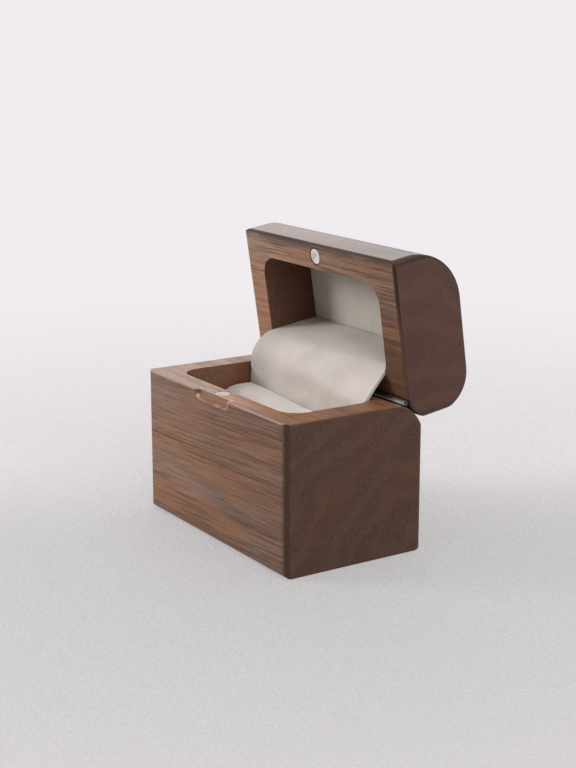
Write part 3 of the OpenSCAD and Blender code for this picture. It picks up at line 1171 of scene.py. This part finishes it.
@dataclass
class Flap:
    """The velvet sheet over the hinge: a leg behind the rear roll, a bend and a leg in the lid.

    Attributes:
        hinge: the axis that it bends round.
        radius: from the axis to the velvet face.
        width: across the box.
        tuck: length of the leg in the base.
        rise: length of the leg in the lid.
        velvet_t: thickness of the velvet.
        paper_t: thickness of the backing and the glue.
        glue: gap between the two.
        ease: how far the bend is pressed flat at its right edge, as a share of the radius.
        free: how far from the axis the sheet hangs free, and over what length its waves die out.
        rows: points of its grid along the bend.
        columns: points of its grid across the box.
    """
    hinge: Hinge
    radius: float
    width: float
    tuck: float
    rise: float
    velvet_t: float = 0.5
    paper_t: float = 0.4
    glue: float = 0.03
    ease: float = 0.6
    free: tuple[float, float] = (12.5, 4.0)
    rows: int = 96
    columns: int = 112

    def face(self, name: str, set_back: float, material: Material) -> Piece:
        """One face of the sheet, from its Geometry Nodes rule.

        Args:
            name: the piece's name.
            set_back: how far behind the velvet face it lies.
            material: its finish.

        Returns:
            The open surface as a plain mesh.
        """
        rule = Rule(f"{name}_rule", Radius=(self.radius - set_back) * MM, Width=self.width * MM,
                    Tuck=self.tuck * MM, Rise=self.rise * MM, Opening=self.hinge.opening, Ease=self.ease,
                    Axis_Y=self.hinge.y * MM, Axis_Z=self.hinge.z * MM)
        grid = rule.node("GeometryNodeMeshGrid", {"Size X": 1.0, "Size Y": 1.0, "Vertices X": self.columns,
                                                  "Vertices Y": self.rows})
        across, along, _ = rule.axes(rule.node("GeometryNodeInputPosition").outputs[0])
        y, z = self.pressed(rule, across, *self.course(rule, rule.total(along, 0.5)))
        spot = rule.node("ShaderNodeCombineXYZ", {0: rule.product(across, rule["Width"]),
                                                  1: rule.total(y, rule["Axis_Y"]),
                                                  2: rule.total(z, rule["Axis_Z"])})
        moved = rule.node("GeometryNodeSetPosition", {"Geometry": grid.outputs[0],
                                                      "Position": spot.outputs[0]})
        smooth = rule.node("GeometryNodeSetShadeSmooth", {"Geometry": moved.outputs[0]})
        rule.finish(smooth.outputs[0], material)
        return rule.mesh(name)

    @staticmethod
    def course(rule: Rule, along: Socket) -> tuple[Socket, Socket]:
        """Where the sheet runs: straight up the base, round the axis and straight into the lid.

        Args:
            rule: the tree under construction.
            along: how far along the sheet, from 0 to 1.

        Returns:
            How far forward of the axis, and how far above it.
        """
        m, radius, opening = rule.maths, rule["Radius"], rule["Opening"]
        bend = rule.product(radius, opening)
        s = rule.less(rule.product(along, rule.total(rule["Tuck"], bend, rule["Rise"])), rule["Tuck"])
        below, above = m("MINIMUM", s, 0.0), m("MAXIMUM", rule.less(s, bend), 0.0)
        turn = m("MINIMUM", m("MAXIMUM", m("DIVIDE", s, radius), 0.0), opening)
        out = rule.less(rule.product(radius, m("COSINE", turn)), rule.product(above, m("SINE", opening)))
        up = rule.total(rule.product(above, m("COSINE", opening)), below,
                        rule.product(radius, m("SINE", turn)))
        return out, up

    @staticmethod
    def pressed(rule: Rule, across: Socket, out: Socket, up: Socket) -> tuple[Socket, Socket]:
        """Lets the sheet take the short way towards its right edge, pressed flat across the bend.

        Args:
            rule: the tree under construction.
            across: how far across the box, from -0.5 to 0.5.
            out: how far forward of the axis the sheet runs.
            up: how far above it.

        Returns:
            How far behind the axis, and how far above it.
        """
        m, radius = rule.maths, rule["Radius"]
        half = rule.product(rule["Opening"], 0.5)
        cos, sin = m("COSINE", half), m("SINE", half)
        proud = rule.total(rule.product(out, cos), rule.product(up, sin))
        side = rule.less(rule.product(up, cos), rule.product(out, sin))
        right = rule.product(rule.band(across, -0.3, 0.5), rule["Ease"])
        proud = m("SMOOTH_MIN", proud, rule.product(radius, rule.less(1.25, right)),
                  rule.product(radius, 0.25))
        return (rule.less(rule.product(side, sin), rule.product(proud, cos)),
                rule.total(rule.product(side, cos), rule.product(proud, sin)))

    def wave(self, co: np.ndarray) -> np.ndarray:
        """Slow waves in the free part of the sheet.

        Args:
            co: the points, one row each.

        Returns:
            How far each point stands outwards from its rule, in millimetres.
        """
        (limit, length), x, z = self.free, co[:, 0] / self.width, co[:, 2]
        free = np.clip((limit - np.hypot(co[:, 1] - self.hinge.y, z - self.hinge.z)) / length, 0, 1)
        return free * (0.16 * np.sin(9.1 * x + 0.6) + 0.10 * np.sin(21 * x + 0.16 * z + 1.9)
                       + 0.06 * np.sin(0.9 * z - 13 * x))

    def leaf(self, name: str, set_back: float, thickness: float, material: Material) -> Piece:
        """One of the two layers, waved and with its thickness.

        Args:
            name: the piece's name.
            set_back: how far behind the velvet face it lies.
            thickness: how thick it is.
            material: its finish.

        Returns:
            The finished piece.
        """
        piece = self.face(name, set_back, material)
        co = points(piece)
        normals = np.zeros(len(co) * 3)
        piece.data.vertices.foreach_get("normal", normals)
        normals = normals.reshape(-1, 3)
        if (normals * (co - [0, self.hinge.y, self.hinge.z])).sum(1).mean() < 0:
            piece.data.flip_normals()
            normals = -normals
        set_points(piece, co + normals * self.wave(co)[:, None])
        modify(piece, "SOLIDIFY", thickness=thickness * MM, offset=-1)
        dress(piece, material)
        return piece

    def build(self, velvet: Material, paper: Material) -> None:
        """Makes the velvet and its backing, which both bend from the base to the lid.

        Args:
            velvet: the finish of the face.
            paper: the finish of the backing.
        """
        glued = self.velvet_t + self.glue
        for name, node, slot, set_back, thickness, material in (
                ("flap_cloth", "flap_velvet", "velvet_flap", 0.0, self.velvet_t, velvet),
                ("flap_stiffener", "flap_backing", "flap_paper", glued, self.paper_t - self.glue, paper)):
            piece = self.leaf(name, set_back, thickness, material)
            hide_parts(node)
            self.bend(piece)

    def bend(self, piece: Piece) -> None:
        """Bakes a sheet's placement into its points.

        Args:
            piece: the sheet.
        """
        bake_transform(piece)


@dataclass
class Ceiling:
    """The velvet-covered panel in the lid, laid on its card with softly rolled edges.

    Low and high are the corners of its CAD solid in the closed lid. Soft is the radius of the
    rolled edge, and crown is how far the middle stands proud.
    """
    hinge: Hinge
    low: np.ndarray
    high: np.ndarray
    corner: float = 4.5
    soft: float = 0.45
    crown: float = 0.18
    steps: int = 12
    levels: int = 9

    def outline(self, width: float, depth: float) -> list[tuple[float, float]]:
        """The panel's outline about its middle, with round corners.

        Args:
            width: its size along X.
            depth: its size along Y.

        Returns:
            The points in order.
        """
        x, y, r = width / 2 - self.corner, depth / 2 - self.corner, self.corner
        return [(x * cx + r * math.cos(a), y * cy + r * math.sin(a))
                for cx, cy, first in ((1, 1, 0), (-1, 1, 90), (-1, -1, 180), (1, -1, 270))
                for a in (math.radians(first + 90 * k / self.steps) for k in range(self.steps + 1))]

    def build(self, velvet: Material) -> None:
        """Makes the panel and gives it to the frame.

        Args:
            velvet: its finish.
        """
        w, d, _ = self.high - self.low
        outline, front = self.outline(w, d), self.low[2]
        rings = [(self.high[2], 0), (front + self.soft, 0)]
        rings += [(front + self.soft * (1 - math.sin(a)), self.soft * (1 - math.cos(a)))
                  for a in map(math.radians, (22, 45, 67, 90))]
        verts = [(x * (1 - 2 * inset / w), y * (1 - 2 * inset / d), z)
                 for z, inset in rings for x, y in outline]
        n = len(outline)
        inner = verts[-n:]
        for f in (1 - k / self.levels for k in range(1, self.levels)):
            verts += [(x * f, y * f, front - self.crown * (1 - f * f)) for x, y, _ in inner]
        top = len(verts) - n
        verts.append((0, 0, front - self.crown))
        faces = [(i + j, i + (j + 1) % n, i + n + (j + 1) % n, i + n + j)
                 for i in range(0, top, n) for j in range(n)]
        faces += [(top + j, top + (j + 1) % n, len(verts) - 1) for j in range(n)]
        faces.append(tuple(range(n)))
        centre = (self.low + self.high) / 2
        closed = np.array(verts) + [centre[0], centre[1], 0]
        piece = new_piece("ceiling_panel", self.hinge.to_open(closed), faces)
        dress(piece, velvet)
        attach(piece, "lid")
        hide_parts("ceiling_velvet")
        log.info("%s: %.1f x %.1f mm", piece.name, w, d)


# ---------------------------------------------------------------- studio

@dataclass
class Lamp:
    """A soft rectangular lamp aimed at the box.

    Attributes:
        azimuth: degrees from the front of the box, positive to its right.
        height: degrees above the table.
        size: its width and height in metres.
        power: watts.
        distance: metres from what it points at.
    """
    name: str
    azimuth: float
    height: float
    size: tuple[float, float]
    power: float
    distance: float = 1.1

    def build(self, target: Vector) -> None:
        """Places the lamp.

        Args:
            target: what it points at, in metres.
        """
        data = bpy.data.lights.new(self.name, "AREA")
        data.shape, data.size, data.size_y = "RECTANGLE", *self.size
        data.energy = self.power
        a, e = math.radians(self.azimuth), math.radians(self.height)
        way = Vector((math.sin(a) * math.cos(e), -math.cos(a) * math.cos(e), math.sin(e)))
        stand(bpy.data.objects.new(self.name, data), target + self.distance * way, target)


def stand(thing: Piece, at: Vector, aim: Vector) -> None:
    """Puts a lamp or a camera into the scene and points it.

    Args:
        thing: the lamp or camera.
        at: where it stands, in metres.
        aim: what it points at, in metres.
    """
    thing.location = at
    thing.rotation_euler = (aim - at).to_track_quat("-Z", "Y").to_euler()
    bpy.context.scene.collection.objects.link(thing)


@dataclass
class Studio:
    """A pale table, soft lamps and the camera.

    Reach is how far the table goes to each side, and target what the lamps point at. Ambient is
    how bright the surround lights the box, and mirrored how bright it is in reflections.
    """
    lamps: tuple[Lamp, ...] = (
        Lamp("front_softbox", -38, 24, (0.36, 0.36), 7.0),
        Lamp("top_softbox", -20, 72, (0.9, 0.9), 5.0),
        Lamp("rear_softbox", 180, 60, (0.8, 0.8), 5.0),
        Lamp("right_softbox", 86, 30, (0.9, 0.8), 7.5),
        Lamp("left_softbox", -112, 30, (0.8, 0.7), 2.3),
    )
    table: TableTop = TableTop("coated_table", tone(177, 178, 174), tone(222, 219, 219), tone(241, 236, 239))
    reach: float = 6000
    target: Triple = (0, 0, 30)
    ambient: float = 0.18
    mirrored: float = 0.9
    camera_at: Triple = (288.61, -185.21, 119.26)
    aim: Triple = (-5.78, 5.80, 32.30)
    lens: float = 72.77

    def build(self) -> None:
        """Builds the stage, the light and the camera."""
        table = new_piece("table_top", [(x * self.reach, y * self.reach, 0)
                                        for x, y in ((-1, -1), (1, -1), (1, 1), (-1, 1))], [(0, 1, 2, 3)])
        dress(table, self.table.material())
        for lamp in self.lamps:
            lamp.build(Vector(self.target) * MM)
        self.world()
        self.camera()
        bpy.context.scene.view_settings.view_transform = "Standard"

    def world(self) -> None:
        """An even pale surround that the camera and reflections see bright."""
        world = bpy.data.worlds.new("studio")
        bpy.context.scene.world = world
        world.use_nodes = True
        nodes = Nodes(world.node_tree)
        nodes.tree.nodes.clear()
        rays = nodes.node("ShaderNodeLightPath").outputs
        level: object = self.ambient
        for ray, share in (("Camera", 1.0), ("Glossy", self.mirrored), ("Transmission", self.mirrored)):
            level = nodes.maths("MULTIPLY_ADD", rays[f"Is {ray} Ray"], share - self.ambient, level)
        sky = nodes.node("ShaderNodeBackground", {"Color": (*self.table.far, 1), "Strength": level})
        nodes.node("ShaderNodeOutputWorld", {"Surface": sky.outputs[0]})

    def camera(self) -> None:
        """The camera, its lens measured on the long side of the picture."""
        data = bpy.data.cameras.new("camera")
        data.sensor_fit, data.sensor_height, data.sensor_width = "VERTICAL", 36, 36
        data.lens, data.clip_start, data.clip_end = self.lens, 0.01, 100
        camera = bpy.data.objects.new("camera", data)
        stand(camera, Vector(self.camera_at) * MM, Vector(self.aim) * MM)
        bpy.context.scene.camera = camera


# ---------------------------------------------------------------- main


def main() -> None:
    """Builds and dresses every piece, then the studio."""
    logging.basicConfig(level=logging.INFO, format="%(name)s: %(message)s")
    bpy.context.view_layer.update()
    hinge = Hinge.read()
    Case().build()

    # The last three numbers of the rolls and the flap place their painted shade towards the left end.
    off_white = Velvet("velvet_rolls", tone(212, 205, 198), tone(190, 182, 175), (-15, 1, 0.42)).material()
    flap_white = Velvet("velvet_flap", tone(211, 202, 195), tone(189, 180, 172), (-21, -9, 0.35)).material()
    liner = Velvet("velvet_ceiling", tone(212, 206, 196), tone(194, 188, 178)).material()
    foam = Board("foam", (0.78, 0.72, 0.58), 3.0, 0.12).material()
    paper = Board("stiff_paper", tone(232, 226, 218), 2.2, 0.02).material()

    for name, side in (("front", 1), ("rear", -1)):
        Roll(name, side, *extent(f"{name}_roll_velvet")).build(off_white, foam)

    low, high = extent("flap_velvet")
    rise = extent("flap_velvet", hinge)[1][2] - hinge.z
    Flap(hinge, hinge.y - low[1], high[0] - low[0], hinge.z - low[2], rise).build(flap_white, paper)
    Ceiling(hinge, *extent("ceiling_velvet", hinge)).build(liner)
    Studio().build()


if __name__ == "__main__":
    main()
